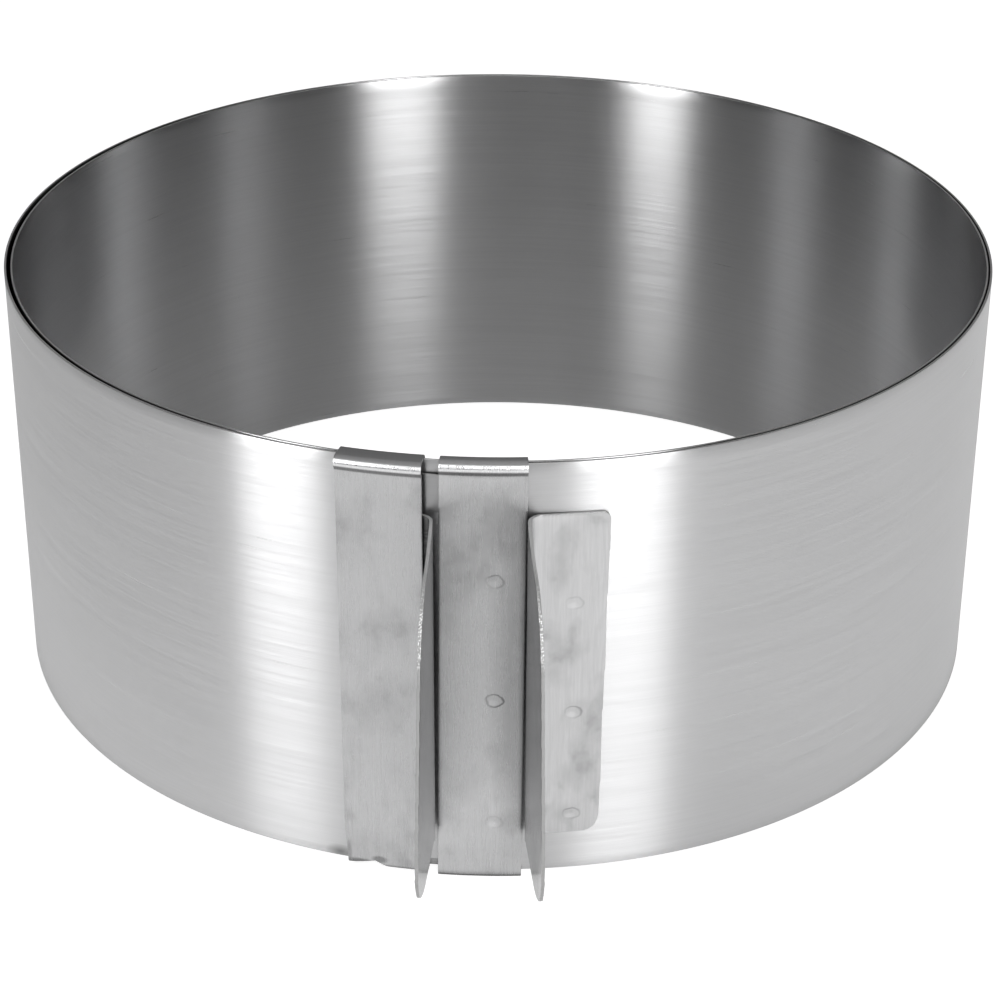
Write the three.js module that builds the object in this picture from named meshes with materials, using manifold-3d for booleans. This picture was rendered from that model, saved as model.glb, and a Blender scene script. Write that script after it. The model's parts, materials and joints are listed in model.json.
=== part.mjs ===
// Adjustable cake ring: a long strip of thin steel lies round itself in two turns. Each end of the strip
// has a folded strap that hooks over both turns, and an upright ear to pull. The ring is shown at its
// smallest size. Millimetres, +Z up. It stands on the hems of its straps, and its front faces -Y.

import * as THREE from "three";
import { mergeVertices } from "three/addons/utils/BufferGeometryUtils.js";
import Module from "manifold-3d";

const wasm = await Module();
wasm.setup();

// The strip
const insideRadius = 80.4;
const bandHeight = 70;
const bandThickness = 0.4;
const turnPlay = 0.3; // between the inner and the outer turn
const bulgeDepth = 0.4; // the outer turn stands off a little on the left
const bulgeMiddle = THREE.MathUtils.degToRad(-98);
const bulgeReach = THREE.MathUtils.degToRad(65); // each way from the bulge's middle
const slitWidth = 0.6; // between the two ends of each turn
const tongueLength = 8; // the strip's outer end is narrower for this length
const tongueTopDrop = 2.1;
const tongueBottomRise = 1.5;

// The straps, two alike, each folded to fit the stack that it goes round
const strapWidth = 12.7;
const strapThickness = 0.5;
const strapLipLength = 10;
const strapWeldGap = 0.2; // where a strap is welded to what lies under it
const strapPlay = 0.3; // where a strap slides
const foldPlay = 0.3; // between a strap's upper fold and the rim
const hemPlay = 0.7; // between its hem and the strip's lower edge
const foldBendRadius = 0.6; // inside the corners of the fold over the rim
const hemBendRadius = 0.4; // inside the corners of the lower fold, which is hammered flat
const hemSetIn = 0.5; // the left strap's leg is pressed in at its hem
const hemSetInRise = 2.5; // the leg is set in up to this height, and then slopes out
const hemSlopeRise = 3;
const strapLean = THREE.MathUtils.degToRad(0.45); // the straps aren't quite upright

// The handles, two alike, left and right
const handleThickness = 0.5;
const handleHeight = 55;
const handleRise = 7; // from the strip's lower edge to the foot
const footWidth = 12.3;
const footTaper = 0.4; // the foot is narrower at its lower end
const footTopCorner = 1.3;
const footBottomCorner = 2;
const footWeldGap = 0.2;
const footPlay = 0.3; // between the left foot and the outer turn that slides under it
const bendRadius = 0.8;
const rightBendPlay = 0.1; // from the right strap's edge across to the right ear's face
const leftBendLap = 0.2; // the left ear's face stands out over the right strap's other edge
const bendToStrap = 0.65; // between the left handle's bend and the left strap's edge
const handleLean = THREE.MathUtils.degToRad(0.2);
const earDepth = 26; // from the foot's underside to the ear's free edge
const earLift = 0.7; // the ear's lower edge lies above the foot's
const earTopCorner = 12;
const earBottomCorner = 13;
const rightEarLean = THREE.MathUtils.degToRad(2.5); // from the radius, towards its own foot
const leftEarLean = THREE.MathUtils.degToRad(-0.8);
const earTwist = THREE.MathUtils.degToRad(-1.7); // from its lower to its upper end, towards its own foot

// The weld marks, shallow round dents
const weldRadius = 1.35;
const weldDepth = 0.12;
const strapWeldShares = [0.13, 0.44, 0.73]; // of the strip's height
const strapWeldPlaceShare = 0.65; // of the strap's width
const footWeldShares = [0.06, 0.39, 0.73]; // of the handle's height
const footWeldPlaceShare = 0.59; // of the foot's width

// How finely the round shapes are drawn, and how far a cut reaches past what it cuts
const turnStep = THREE.MathUtils.degToRad(2.5);
const pieceStep = THREE.MathUtils.degToRad(1.5);
const bendSteps = 8;
const foldSteps = 4;
const cornerSteps = 6;
const weldSides = 16;
const overrun = 3;

// Radii that follow, from the ring's axis
const innerTurnOuter = insideRadius + bandThickness;
const outerTurnInner = innerTurnOuter + turnPlay;
const outerTurnOuter = outerTurnInner + bandThickness;
const rightFootInner = outerTurnOuter + footWeldGap;
const leftFootInner = outerTurnOuter + bulgeDepth + footPlay;
const rightLegInner = outerTurnOuter + strapWeldGap;
const leftLegInner = leftFootInner + handleThickness + strapWeldGap;
const rightLipInner = insideRadius - strapPlay - strapThickness;
const leftLipInner = insideRadius - strapWeldGap - strapThickness;

// Heights that follow
const bandBottom = strapThickness + hemPlay;
const bandTop = bandBottom + bandHeight;
const bandMiddle = (bandBottom + bandTop) / 2;
const strapTop = bandTop + foldPlay + strapThickness;
const setInBottom = hemSetInRise;
const setInTop = setInBottom + hemSlopeRise;
const handleBottom = bandBottom + handleRise;
const handleTop = handleBottom + handleHeight;

// Angles that follow, from the front, counter-clockwise seen from above
const rightStrapHalf = strapWidth / 2 / rightLegInner;
const rightBendAngle = rightStrapHalf + rightBendPlay / rightLegInner;
const leftBendAngle = rightStrapHalf - leftBendLap / rightLegInner;
const bendOuter = bendRadius + handleThickness;
const leftStrapHalf = strapWidth / 2 / leftLegInner;
const leftStrapEdge = leftBendAngle + (bendOuter + bendToStrap) / leftFootInner;
const tongueTip = -rightStrapHalf - tongueLength / 2 / outerTurnOuter;
const innerTurnStart = -rightStrapHalf + slitWidth / insideRadius;

function steel(color, roughness) {
  return new THREE.MeshStandardMaterial({ color, roughness, metalness: 1 });
}

const bandSteel = steel(0xb9bbbc, 0.3);
const strapSteel = steel(0xa9abad, 0.4);
const handleSteel = steel(0xb0b2b3, 0.38);

// A closed geometry as a solid that can be cut
function solidOf(geometry) {
  const bare = geometry.clone();
  bare.deleteAttribute("normal");
  bare.deleteAttribute("uv");
  const merged = mergeVertices(bare);
  const vertProperties = new Float32Array(merged.attributes.position.array);
  const triVerts = new Uint32Array(merged.index.array);
  return new wasm.Manifold(new wasm.Mesh({ numProp: 3, vertProperties, triVerts }));
}

function geometryOf(solid) {
  const mesh = solid.getMesh();
  const geometry = new THREE.BufferGeometry();
  geometry.setAttribute("position", new THREE.BufferAttribute(mesh.vertProperties, 3));
  geometry.setIndex(new THREE.BufferAttribute(mesh.triVerts, 1));
  geometry.computeVertexNormals();
  return geometry;
}

function extruded(outline, depth, steps = 1) {
  const shape = outline instanceof THREE.Shape ? outline : new THREE.Shape(outline);
  const settings = { depth, steps, curveSegments: cornerSteps, bevelEnabled: false };
  return new THREE.ExtrudeGeometry(shape, settings);
}

// The point of the plan at this distance from the ring's axis and this angle from the front
function planPoint(radius, angle) {
  return new THREE.Vector2(radius * Math.sin(angle), -radius * Math.cos(angle));
}

// Evenly spaced values from one to another, both included
function spread(from, to, steps) {
  return Array.from({ length: steps + 1 }, (_, i) => from + ((to - from) * i) / steps);
}

// Moves each point of a geometry to the point that a function gives for it
function reshape(geometry, newPlace) {
  const places = geometry.attributes.position;
  const point = new THREE.Vector3();
  for (let i = 0; i < places.count; i += 1) {
    point.fromBufferAttribute(places, i);
    newPlace(point);
    places.setXYZ(i, point.x, point.y, point.z);
  }
  return geometry;
}

// Leans a piece sideways while it stays on the wall: each level turns a little round the ring's axis
function leaned(geometry, angle) {
  const up = new THREE.Vector3(0, 0, 1);
  return reshape(geometry, (point) => {
    point.applyAxisAngle(up, ((point.z - bandMiddle) * Math.tan(angle)) / outerTurnOuter);
  });
}

// How far the outer turn stands off at this angle
function bulge(angle) {
  const wrapped = angle > Math.PI ? angle - 2 * Math.PI : angle;
  const away = Math.abs(wrapped - bulgeMiddle) / bulgeReach;
  return away < 1 ? bulgeDepth * Math.cos((away * Math.PI) / 2) ** 2 : 0;
}

// One turn of the strip, all round but for the slit before its first angle
function turnOf(inner, outer, from, standOff) {
  const to = from + 2 * Math.PI - slitWidth / outer;
  const angles = spread(from, to, Math.round((to - from) / turnStep));
  const wall = (radius) => (angle) => planPoint(radius + standOff(angle), angle);
  const outline = [...angles.map(wall(outer)), ...angles.toReversed().map(wall(inner))];
  return extruded(outline, bandHeight).translate(0, 0, bandBottom);
}

// A block that cuts the strip's outer end narrower, from one height to another
function tongueCut(bottom, top) {
  const back = slitWidth / 2;
  const block = new THREE.BoxGeometry(tongueLength + back, 2 * overrun, top - bottom);
  block.translate((tongueLength - back) / 2, -outerTurnOuter, (bottom + top) / 2);
  return solidOf(block.rotateZ(tongueTip));
}

function outerTurnGeometry() {
  const turn = solidOf(turnOf(outerTurnInner, outerTurnOuter, tongueTip, bulge));
  const above = tongueCut(bandTop - tongueTopDrop, bandTop + overrun);
  const below = tongueCut(bandBottom - overrun, bandBottom + tongueBottomRise);
  return geometryOf(turn.subtract(above).subtract(below));
}

function innerTurnGeometry() {
  return turnOf(insideRadius, innerTurnOuter, innerTurnStart, () => 0);
}

function arcPoints(x, y, radius, from, to, steps) {
  return spread(from, to, steps).map(
    (a) => new THREE.Vector2(x + radius * Math.cos(a), y + radius * Math.sin(a)),
  );
}

// A strap's section, distance from the axis across and height up: a long leg outside, a fold over the rim
// with round corners, a flatter hem below, and two short lips inside. The leg may be set in at the hem.
function strapSection(lipInner, legInner, setIn) {
  const legOuter = legInner + strapThickness;
  const lipOuter = lipInner + strapThickness;
  const foldOuter = foldBendRadius + strapThickness;
  const hemOuter = hemBendRadius + strapThickness;
  const foldLeg = legOuter - foldOuter;
  const foldLip = lipInner + foldOuter;
  const foldHeight = strapTop - foldOuter;
  const hemLeg = legOuter - setIn - hemOuter;
  const hemLip = lipInner + hemOuter;
  const quarter = Math.PI / 2;
  return [
    new THREE.Vector2(lipInner, strapLipLength),
    ...arcPoints(hemLip, hemOuter, hemOuter, 2 * quarter, 3 * quarter, foldSteps),
    ...arcPoints(hemLeg, hemOuter, hemOuter, 3 * quarter, 4 * quarter, foldSteps),
    new THREE.Vector2(legOuter - setIn, setInBottom),
    new THREE.Vector2(legOuter, setInTop),
    ...arcPoints(foldLeg, foldHeight, foldOuter, 0, quarter, foldSteps),
    ...arcPoints(foldLip, foldHeight, foldOuter, quarter, 2 * quarter, foldSteps),
    new THREE.Vector2(lipInner, strapTop - strapLipLength),
    new THREE.Vector2(lipOuter, strapTop - strapLipLength),
    ...arcPoints(foldLip, foldHeight, foldBendRadius, 2 * quarter, quarter, foldSteps),
    ...arcPoints(foldLeg, foldHeight, foldBendRadius, quarter, 0, foldSteps),
    new THREE.Vector2(legInner, setInTop),
    new THREE.Vector2(legInner - setIn, setInBottom),
    ...arcPoints(hemLeg, hemOuter, hemBendRadius, 4 * quarter, 3 * quarter, foldSteps),
    ...arcPoints(hemLip, hemOuter, hemBendRadius, 3 * quarter, 2 * quarter, foldSteps),
    new THREE.Vector2(lipOuter, strapLipLength),
  ];
}

// A strap laid round the ring's axis, with its middle at the front
function strapGeometry(lipInner, legInner, setIn) {
  const steps = Math.ceil(strapWidth / legInner / pieceStep);
  const straight = extruded(strapSection(lipInner, legInner, setIn), strapWidth, steps);
  return reshape(straight, (point) => {
    const place = planPoint(point.x, (strapWidth / 2 - point.z) / legInner);
    point.set(place.x, place.y, point.y);
  });
}

// The dents of the spot welds in a wall of this outer radius, one at each height
function dented(geometry, radius, angle, heights) {
  const depth = weldDepth + overrun;
  const dents = heights.map((height) =>
    new THREE.CylinderGeometry(weldRadius, weldRadius, depth, weldSides)
      .translate(0, -(radius - weldDepth + depth / 2), height)
      .rotateZ(angle),
  );
  const solid = dents.reduce((left, dent) => left.subtract(solidOf(dent)), solidOf(geometry));
  return geometryOf(solid);
}

// An upright frame at a point of the plan: first axis along a direction of the plan, second axis up
function uprightFrame(point, direction) {
  const along = new THREE.Vector3(direction.x, direction.y, 0);
  const up = new THREE.Vector3(0, 0, 1);
  const across = new THREE.Vector3().crossVectors(along, up);
  return new THREE.Matrix4().makeBasis(along, up, across).setPosition(point.x, point.y, 0);
}

// What is cut off a plate so that a tab with two round corners stays. The tab's end may slant.
function tabTrim(tab, frame) {
  const { start, endBelow, endAbove, bottom, top, cornerBelow, cornerAbove } = tab;
  const far = Math.max(endBelow, endAbove) + overrun;
  const shape = new THREE.Shape();
  shape.moveTo(start, bottom);
  shape.lineTo(endBelow - cornerBelow, bottom);
  shape.quadraticCurveTo(endBelow, bottom, endBelow, bottom + cornerBelow);
  shape.lineTo(endAbove, top - cornerAbove);
  shape.quadraticCurveTo(endAbove, top, endAbove - cornerAbove, top);
  shape.lineTo(start, top);
  shape.lineTo(start, top + overrun);
  shape.lineTo(far, top + overrun);
  shape.lineTo(far, bottom - overrun);
  shape.lineTo(start, bottom - overrun);
  return solidOf(extruded(shape, 2 * overrun).translate(0, 0, -overrun).applyMatrix4(frame));
}

// A handle: its foot runs from the bend to the right round the ring's axis, and its ear stands out.
// It is an L in plan, drawn longer than it is and trimmed to its two outlines.
function handleGeometry(footInner, bendAngle, earLean) {
  const footOuter = footInner + handleThickness;
  const footStart = bendAngle + bendOuter / footInner;
  const footEnd = bendAngle + (footWidth + overrun / 2) / footInner;
  const footAngles = spread(footEnd, footStart, Math.ceil((footEnd - footStart) / pieceStep));
  const outward = planPoint(1, footStart);
  const sideways = planPoint(1, footStart + Math.PI / 2);
  const centre = planPoint(footOuter + bendRadius, footStart);
  const turned = Math.PI / 2 + earLean + bendAngle - footStart;
  const onBend = (radius) => (a) =>
    centre
      .clone()
      .addScaledVector(outward, -radius * Math.cos(a))
      .addScaledVector(sideways, -radius * Math.sin(a));
  const earWay = planPoint(1, bendAngle + earLean);
  const straight = earDepth - bendOuter;
  const side = (footRadius, radius) => {
    const foot = footAngles.map((a) => planPoint(footRadius, a));
    const bend = spread(0, turned, bendSteps).slice(1).map(onBend(radius));
    const tip = bend.at(-1).clone().addScaledVector(earWay, straight + overrun / 2);
    return [...foot, ...bend, tip];
  };
  const farSide = side(footInner, bendOuter);
  const outline = [...farSide, ...side(footOuter, bendRadius).toReversed()];
  const plate = solidOf(extruded(outline, handleHeight).translate(0, 0, handleBottom));

  const footMiddle = bendAngle + footWidth / 2 / footInner;
  const footTab = {
    start: bendOuter - footWidth / 2,
    endBelow: footWidth / 2 - footTaper,
    endAbove: footWidth / 2,
    bottom: handleBottom,
    top: handleTop,
    cornerBelow: footBottomCorner,
    cornerAbove: footTopCorner,
  };
  const footFrame = uprightFrame(
    planPoint(footInner, footMiddle),
    planPoint(1, footMiddle + Math.PI / 2),
  );
  const earTab = {
    start: 0,
    endBelow: straight,
    endAbove: straight,
    bottom: handleBottom + earLift,
    top: handleTop,
    cornerBelow: earBottomCorner,
    cornerAbove: earTopCorner,
  };
  const earFrame = uprightFrame(farSide.at(-2), earWay);
  const trimmed = plate.subtract(tabTrim(footTab, footFrame)).subtract(tabTrim(earTab, earFrame));
  return twistedEar(geometryOf(trimmed), centre, footOuter + bendRadius);
}

// Turns the ear round its bend by an angle that grows with height. The bend takes it up bit by bit.
function twistedEar(geometry, centre, bendEnd) {
  const up = new THREE.Vector3(0, 0, 1);
  const hub = new THREE.Vector3(centre.x, centre.y, 0);
  const handleMiddle = (handleBottom + handleTop) / 2;
  return reshape(geometry, (point) => {
    const past = Math.hypot(point.x, point.y) - bendEnd + bendRadius;
    const share = THREE.MathUtils.clamp(past / bendRadius, 0, 1);
    const rise = (point.z - handleMiddle) / handleHeight;
    point.sub(hub).applyAxisAngle(up, share * rise * earTwist).add(hub);
  });
}

function addPiece(group, name, geometry, material) {
  const piece = new THREE.Mesh(geometry, material);
  piece.name = name;
  group.add(piece);
  return piece;
}

const ring = new THREE.Group();
addPiece(ring, "inner_turn", innerTurnGeometry(), bandSteel);
addPiece(ring, "outer_turn", outerTurnGeometry(), bandSteel);

const strapWelds = strapWeldShares.map((share) => bandBottom + share * bandHeight);
const rightLegOuter = rightLegInner + strapThickness;
const strapWeldAngle = ((strapWeldPlaceShare - 1 / 2) * strapWidth) / rightLegInner;
const rightStrap = strapGeometry(rightLipInner, rightLegInner, 0);
const rightStrapDented = dented(rightStrap, rightLegOuter, strapWeldAngle, strapWelds);
addPiece(ring, "right_strap", leaned(rightStrapDented, strapLean), strapSteel);

const leftStrap = leaned(strapGeometry(leftLipInner, leftLegInner, hemSetIn), -strapLean);
addPiece(ring, "left_strap", leftStrap, strapSteel).rotation.z = -leftStrapEdge - leftStrapHalf;

const footWelds = footWeldShares.map((share) => handleBottom + share * handleHeight);
const footWeldAngle = rightBendAngle + (footWeldPlaceShare * footWidth) / rightFootInner;
const rightFootOuter = rightFootInner + handleThickness;
const rightHandle = handleGeometry(rightFootInner, rightBendAngle, rightEarLean);
const rightHandleDented = dented(rightHandle, rightFootOuter, footWeldAngle, footWelds);
addPiece(ring, "right_handle", leaned(rightHandleDented, handleLean), handleSteel);

// The left handle is the mirror image, so its lean is turned round too
const leftHandleUpright = handleGeometry(leftFootInner, leftBendAngle, leftEarLean);
const leftHandle = leaned(leftHandleUpright, -handleLean);
addPiece(ring, "left_handle", leftHandle, handleSteel).scale.x = -1;

// The origin lies under the middle of the whole ring, ears included
ring.updateMatrixWorld(true);
const reach = new THREE.Box3().setFromObject(ring, true);
const footprint = reach.getCenter(new THREE.Vector3());
ring.position.set(-footprint.x, -footprint.y, -reach.min.z);

const cakeRing = new THREE.Group();
cakeRing.name = "adjustable_cake_ring";
cakeRing.add(ring);

export default cakeRing;
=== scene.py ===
import json
import math

import bmesh
import bpy
from bpy.props import FloatProperty, FloatVectorProperty, PointerProperty
from bpy.types import Operator, Panel, PropertyGroup
from mathutils import Matrix, Vector


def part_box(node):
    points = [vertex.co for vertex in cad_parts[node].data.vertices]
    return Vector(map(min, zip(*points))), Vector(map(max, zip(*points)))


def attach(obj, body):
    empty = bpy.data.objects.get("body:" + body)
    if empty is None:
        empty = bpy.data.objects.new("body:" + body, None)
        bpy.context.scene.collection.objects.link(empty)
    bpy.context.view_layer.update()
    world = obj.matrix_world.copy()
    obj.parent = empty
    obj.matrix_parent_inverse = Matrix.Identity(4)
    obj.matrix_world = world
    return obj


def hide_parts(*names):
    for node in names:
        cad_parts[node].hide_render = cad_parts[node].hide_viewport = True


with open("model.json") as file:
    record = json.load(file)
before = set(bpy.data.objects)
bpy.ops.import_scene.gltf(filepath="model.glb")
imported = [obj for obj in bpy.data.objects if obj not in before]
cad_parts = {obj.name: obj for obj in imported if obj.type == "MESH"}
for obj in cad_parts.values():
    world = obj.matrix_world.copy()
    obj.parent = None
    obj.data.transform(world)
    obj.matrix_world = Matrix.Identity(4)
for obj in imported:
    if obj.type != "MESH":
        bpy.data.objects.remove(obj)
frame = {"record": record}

bl_info = {
    "name": "Adjustable cake ring",
    "version": (1, 0, 0),
    "blender": (4, 5, 0),
    "location": "View3D > Sidebar > Cake ring",
    "description": "Dresses the packed frame of a steel cake ring with its strip, straps and handles",
    "category": "Add Mesh",
}

MM = 0.001
UP = Vector((0, 0, 1))
QUARTER = math.pi / 2

# Points closer than this count as one
HAIR = 0.01 * MM

# How finely each sheet is divided
TURN_STEPS = 288
TONGUE_STEPS = 12
STRAP_ROWS = 200
STRAP_STEPS = 40
FOLD_STEPS = 10
HEM_STEPS = 8
EAR_COLUMNS = 24
EAR_ROWS = 150
BEND_STEPS = 10
FOOT_STEPS = 32

# The weld marks' heights, as shares of the strip's height and of the handle's height
STRAP_WELDS = (0.13, 0.44, 0.73)
HANDLE_WELDS = (0.06, 0.39, 0.73)

# How far across the handle's foot its weld marks lie
FOOT_WELDS = 0.59

# The corners of a handle, lower and upper
EAR_CORNERS = (13 * MM, 12 * MM)
FOOT_CORNERS = (3.2 * MM, 1.6 * MM)

# Where the outer turn stands off most, from the front
BULGE_PLACE = math.radians(-98)

# Between these heights the left strap's leg slopes in to its hem
SLOPE_TOP, SLOPE_BOTTOM = 8 * MM, 2.5 * MM

# The camera that was fitted to the photo: its focal length and the photo's width in pixels, how it is
# turned, and its place from the foot of the ring's axis. The ring stands turned a little before it.
FOCAL_LENGTH, PHOTO_WIDTH = 2796.2, 1001
CAMERA_TILT = math.radians(28.217)
CAMERA_TURN = math.radians(0.046)
CAMERA_ROLL = math.radians(0.271)
CAMERA_PLACE = Vector((0, -0.43227, 0.25236))
RING_TURN = math.radians(1.8)

# The ring's axis, and the strip's lower and upper edges, are where the frame has them
AXIS = Vector(frame["record"]["behaviour"]["joints"][0]["pos_m"])
BAND_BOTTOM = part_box("inner_turn")[0][2]
BAND_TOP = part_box("inner_turn")[1][2]
BAND_MIDDLE = (BAND_BOTTOM + BAND_TOP) / 2


def length(name, text, default):
    return FloatProperty(name=name, description=text, default=default * MM, unit="LENGTH", precision=5)


def angle(name, text, default):
    return FloatProperty(name=name, description=text, default=math.radians(default), unit="ROTATION")


def share(name, text, default):
    return FloatProperty(name=name, description=text, default=default, subtype="FACTOR", min=0, max=1)


def colour(name, text, default):
    return FloatVectorProperty(
        name=name, description=text, default=default, size=3, subtype="COLOR", min=0, max=1
    )


def brightness(name, text, default):
    return FloatProperty(name=name, description=text, default=default, min=0)


class StripSizes(PropertyGroup):
    inside: length("Inside radius", "From the axis to the inner turn's inside", 80.4)
    thickness: length("Thickness", "Of the strip", 0.4)
    play: length("Play", "Between the inner and the outer turn", 0.3)
    bulge: length("Bulge", "How far the outer turn stands off on the left", 0.29)
    bulge_reach: length("Bulge reach", "From the bulge's middle to where it ends", 92)
    slit: length("Slit", "Between the two ends of each turn", 0.6)
    tongue: length("Tongue", "Length of the outer end's narrow tongue", 4.9)
    tuck: length("Tuck", "How far the tongue's root is tucked under the right strap", 0.9)
    tongue_drop: length("Tongue drop", "From the rim down to the tongue's upper edge", 2.1)
    tongue_rise: length("Tongue rise", "From the lower edge up to the tongue's lower edge", 1.5)
    tongue_press: length("Tongue press", "How far the tongue's tip is pressed to the inner turn", 0.24)
    sway: length("Sway", "How far the outer turn sits off the middle, to the left", 0.1)
    edge: length("Edge", "Width of the rounding along the cut edges", 0.07)


class StrapSizes(PropertyGroup):
    width: length("Width", "Of both straps", 12.7)
    thickness: length("Thickness", "Of the straps' sheet", 0.45)
    lip: length("Lip", "From the rim to the end of the lip inside the ring", 10)
    lip_play: length("Lip play", "Between a strap's lip and the inner turn", 0.05)
    rim_play: length("Rim play", "Between a strap's fold and the rim", 0.04)
    fold: length("Fold radius", "Inside the corners of the fold over the rim", 0.8)
    roll: length("Roll", "How far the fold stands out past the leg", 0.42)
    inner_roll: length("Inner roll", "How far the fold stands out past the lip", 0.5)
    roll_drop: length("Roll drop", "Height over which the roll meets the leg", 1.1)
    hem_fold: length("Hem radius", "Inside the corners of the hem below", 0.3)
    right_leg: length("Right leg", "From the axis to the right leg's inner side", 81.6)
    left_leg: length("Left leg", "From the axis to the left leg's inner side", 82.9)
    right_hem: length("Right hem", "Height of the right strap's lowest point", 0.0)
    left_hem: length("Left hem", "Height of the left strap's lowest point", 0.6)
    set_in: length("Set in", "How far the left strap's leg is pressed in at its hem", 1.1)
    right_middle: angle("Right strap", "From the front to the right strap's middle", 0.12)
    lean: angle("Right lean", "How far the right strap leans to the right at the top", 0.45)
    left_lean: angle("Left lean", "How far the left strap leans to the left at the top", 0.2)
    left_middle: angle("Left strap", "From the front to the left strap's middle", -10.061)
    edge: length("Edge", "Width of the rounding along the cut edges", 0.06)
    dent: length("Dent", "Radius of the weld marks", 1.35)
    dent_depth: length("Dent depth", "Of the weld marks", 0.09)


class HandleSizes(PropertyGroup):
    thickness: length("Thickness", "Of the handles' sheet", 0.5)
    height: length("Height", "Of foot and ear", 55)
    rise: length("Rise", "From the strip's lower edge to the foot", 7)
    foot: length("Foot", "Width of the foot", 12.3)
    foot_taper: length("Foot taper", "How much narrower the foot is at its lower end", 0.85)
    ear: length("Ear", "From the foot's underside to the ear's free edge", 25.97)
    right_lift: length("Right ear's lift", "How much higher its lower edge is than the foot's", 0.7)
    left_lift: length("Left ear's lift", "How much higher its lower edge is than the foot's", 1.15)
    ear_drop: length("Ear drop", "How much lower the ear's upper edge is than the foot's", 2.0)
    edge: length("Edge", "Width of the rounding along the cut edges", 0.08)
    bend: length("Bend radius", "Inside the bend between foot and ear", 1.9)
    flat: length("Foot curve", "Radius of the foot, which is flatter than the ring", 300)
    right_foot: length("Right foot", "From the axis to the right foot's underside", 81.6)
    left_foot: length("Left foot", "From the axis to the left foot's underside", 82.08)
    right_twist: angle("Right ear's twist", "From its lower to its upper end", 1.7)
    left_twist: angle("Left ear's twist", "From its lower to its upper end", 2.6)
    right_place: angle("Right ear", "From the front to the right ear's far face", 4.523)
    left_place: angle("Left ear", "From the front to the left ear's far face", 4.42)
    right_lean: angle("Right ear's lean", "From the radius, towards its own foot", 2.1)
    left_lean: angle("Left ear's lean", "From the radius, towards its own foot", -2.3)


class Finishes(PropertyGroup):
    band: colour("Strip", "Colour of the strip's steel", (0.64, 0.64, 0.645))
    strap: colour("Straps", "Colour of the straps' steel", (0.555, 0.555, 0.56))
    handle: colour("Handles", "Colour of the handles' steel", (0.61, 0.61, 0.615))
    cut: colour("Cut edges", "Colour of the bare cut edges", (0.5, 0.5, 0.5))
    # this darkness serves the stained patches and the painted shade patches on the straps
    stain_and_shade: share("Stains", "How much darker the heat stains are", 0.35)


class StageSettings(PropertyGroup):
    floor: colour("Floor", "Colour of the floor", (0.5, 0.5, 0.5))
    backdrop: share("Backdrop", "Brightness that the camera sees on the floor beside its own light", 0.88)
    mirrored: share("Mirrored floor", "Brightness that steel sees on the floor beside its own light", 0.5)
    world: share("Surroundings", "Brightness of the light from all round", 0.04)
    side_lamps: brightness("Side lamps", "Brightness of the two side lamps' faces", 7.5)
    top_lamp: brightness("Top lamp", "Brightness of the upper lamp's face", 1.6)


# Selecting and shaping

def clear_selection():
    if bpy.context.object and bpy.context.object.mode != "OBJECT":
        bpy.ops.object.mode_set(mode="OBJECT")
    bpy.ops.object.select_all(action="DESELECT")


def wall_point(radius, place, height=0.0):
    """The point at this distance from the ring's axis and this angle from the front, seen from above."""
    return Vector((AXIS.x + radius * math.sin(place), AXIS.y - radius * math.cos(place), height))


def outward(place):
    return Vector((math.sin(place), -math.cos(place), 0))


def sideways(place):
    return Vector((math.cos(place), math.sin(place), 0))


def radius_of(point):
    return math.hypot(point.x - AXIS.x, point.y - AXIS.y)


def place_of(point):
    return math.atan2(point.x - AXIS.x, AXIS.y - point.y)


def start_sheet(name, corner, along, up, size_along, size_up, columns, rows):
    """A flat grid from its corner along two directions, left in edit mode."""
    clear_selection()
    middle = corner + along * size_along / 2 + up * size_up / 2
    turn = Matrix((along, up, along.cross(up))).transposed()
    bpy.ops.mesh.primitive_grid_add(
        x_subdivisions=columns, y_subdivisions=rows, size=1, location=middle, rotation=turn.to_euler()
    )
    piece = bpy.context.object
    piece.name = piece.data.name = name
    piece.scale = (size_along, size_up, 1)
    bpy.ops.object.transform_apply(location=True, rotation=True, scale=True)
    bpy.ops.object.mode_set(mode="EDIT")
    return piece


def pick(piece, kind, test):
    """Selects the vertices, edges or faces whose points all pass the test."""
    bpy.ops.mesh.select_mode(type=kind)
    bpy.ops.mesh.select_all(action="DESELECT")
    mesh = bmesh.from_edit_mesh(piece.data)
    if kind == "VERT":
        chosen = [v for v in mesh.verts if test(v.co)]
    else:
        parts = mesh.edges if kind == "EDGE" else mesh.faces
        chosen = [part for part in parts if all(test(v.co) for v in part.verts)]
    for part in chosen:
        part.select_set(True)
    mesh.select_flush_mode()
    bmesh.update_edit_mesh(piece.data)


def spin(turn, centre, axis, steps):
    """Sweeps the selection round an axis. The operator counts its angle the other way."""
    bpy.ops.mesh.spin(steps=steps, angle=-turn, center=centre, axis=axis)


def turn_about(turn, centre):
    """Turns the selection about an upright line. With no window the operator turns the other way."""
    bpy.ops.transform.rotate(value=-turn, orient_axis="Z", center_override=centre)


def draw_out(way):
    bpy.ops.mesh.extrude_region_move(TRANSFORM_OT_translate={"value": way})


def tidy_faces():
    bpy.ops.mesh.select_all(action="SELECT")
    bpy.ops.mesh.remove_doubles(threshold=HAIR)
    bpy.ops.mesh.normals_make_consistent(inside=False)


def soften_edges(piece, width):
    """Rounds the cut edges of the sheet a little."""
    bpy.ops.mesh.select_mode(type="EDGE")
    bpy.ops.mesh.select_all(action="DESELECT")
    mesh = bmesh.from_edit_mesh(piece.data)
    for edge in mesh.edges:
        if len(edge.link_faces) == 2 and edge.calc_face_angle() > math.radians(60):
            edge.select_set(True)
    bmesh.update_edit_mesh(piece.data)
    bpy.ops.mesh.bevel(offset=width, segments=2, affect="EDGES", clamp_overlap=True)


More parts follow.
